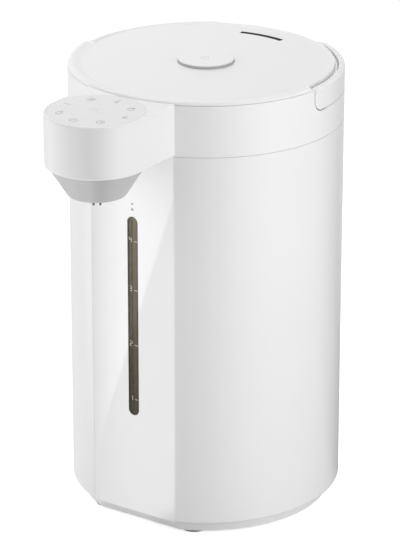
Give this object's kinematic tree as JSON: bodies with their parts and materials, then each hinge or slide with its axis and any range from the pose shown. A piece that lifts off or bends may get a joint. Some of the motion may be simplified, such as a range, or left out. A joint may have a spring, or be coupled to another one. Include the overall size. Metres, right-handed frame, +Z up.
{
  "type": "hot water dispenser",
  "caption": "White electric hot water dispenser: round body with a flat gauge panel, touch head with a conical spout, hinged lid with a push button and a folding handle.",
  "frame": {"origin": "on the surface that the feet stand on, under the middle of the whole object", "axes": "+Z up, the spout faces -Y, +X to the right seen from the front"},
  "size_m": [0.2, 0.2718, 0.335],
  "materials": {
    "shell_white": "white baked enamel, satin gloss",
    "panel_gloss": "white, high gloss",
    "moulding_white": "white, satin gloss",
    "cone_grey": "light grey, satin",
    "touch_grey": "light grey, smooth",
    "button_grey": "light grey, satin",
    "base_grey": "grey, fine grain",
    "rubber_dark": "matte",
    "window_smoke": "smoked, clear",
    "sight_glass": "clear",
    "channel_dark": "matte",
    "steel": "brushed",
    "steel_bright": "polished",
    "felt": "felt",
    "heater_metal": "cast",
    "silicone": "translucent, matte",
    "board_green": "satin",
    "pump_black": "matte",
    "motor_metal": "zinc plated",
    "inlet_black": "matte",
    "brass": "plain",
    "vent_dark": "matte"
  },
  "bodies": {
    "housing": {"outer_shell": "shell_white", "front_panel": "panel_gloss", "level_window": "window_smoke", "level_channel": "channel_dark", "level_tube": "sight_glass", "base_plate": "base_grey", "rubber_feet": "rubber_dark", "base_screws": "steel_bright", "collar": "moulding_white", "spout_cone": "cone_grey", "outlet_nozzle": "steel_bright", "touch_panel": "touch_grey", "control_board": "board_green", "upper_hose": "silicone", "lower_hose": "silicone", "inlet_hose": "silicone", "inner_pot": "steel", "pot_floor": "steel", "insulation_jacket": "felt", "pot_support": "motor_metal", "heater_plate": "heater_metal", "thermal_cutouts": "pump_black", "temperature_sensor": "steel", "pump_housing": "pump_black", "pump_motor": "motor_metal", "power_board": "board_green", "mains_inlet": "inlet_black", "inlet_pins": "brass", "hinge_pin": "steel", "handle_pivots": "steel"},
    "lid": {"lid_cover": "moulding_white", "lid_rim": "moulding_white", "lid_liner": "moulding_white", "lid_inner_plate": "steel", "lid_seal": "silicone", "steam_vent": "vent_dark", "lid_screws": "steel_bright", "button_spring": "steel"},
    "button": {"lid_button": "button_grey"},
    "latch": {"lid_latch": "pump_black"},
    "handle": {"handle": "moulding_white"},
    "pump_rotor": {"pump_impeller": "pump_black"}
  },
  "joints": [
    {"name": "lid_hinge", "type": "hinge", "parent": "housing", "child": "lid", "pos_m": [0, 0.1244, 0.3292], "axis": [-1, 0, 0], "range_deg": [0, 90]},
    {"name": "handle_swing", "type": "hinge", "parent": "housing", "child": "handle", "pos_m": [0, 0.0359, 0.324], "axis": [1, 0, 0], "range_deg": [0, 90]},
    {"name": "button_press", "type": "slide", "parent": "lid", "child": "button", "axis": [0, 0, -1], "range_m": [0, 0.0025], "stiffness_N_per_m": 600, "springref_m": -0.002, "deforming": ["button_spring"]},
    {"name": "latch_slide", "type": "slide", "parent": "lid", "child": "latch", "axis": [0, 1, 0], "range_m": [0, 0.003]},
    {"name": "pump_spin", "type": "hinge", "parent": "housing", "child": "pump_rotor", "pos_m": [-0.014, -0.0281, 0.03], "axis": [0, 0, 1], "continuous": true}
  ],
  "couplings": [
    {"joint": "latch_slide", "follows": "button_press", "ratio": 1.2}
  ]
}
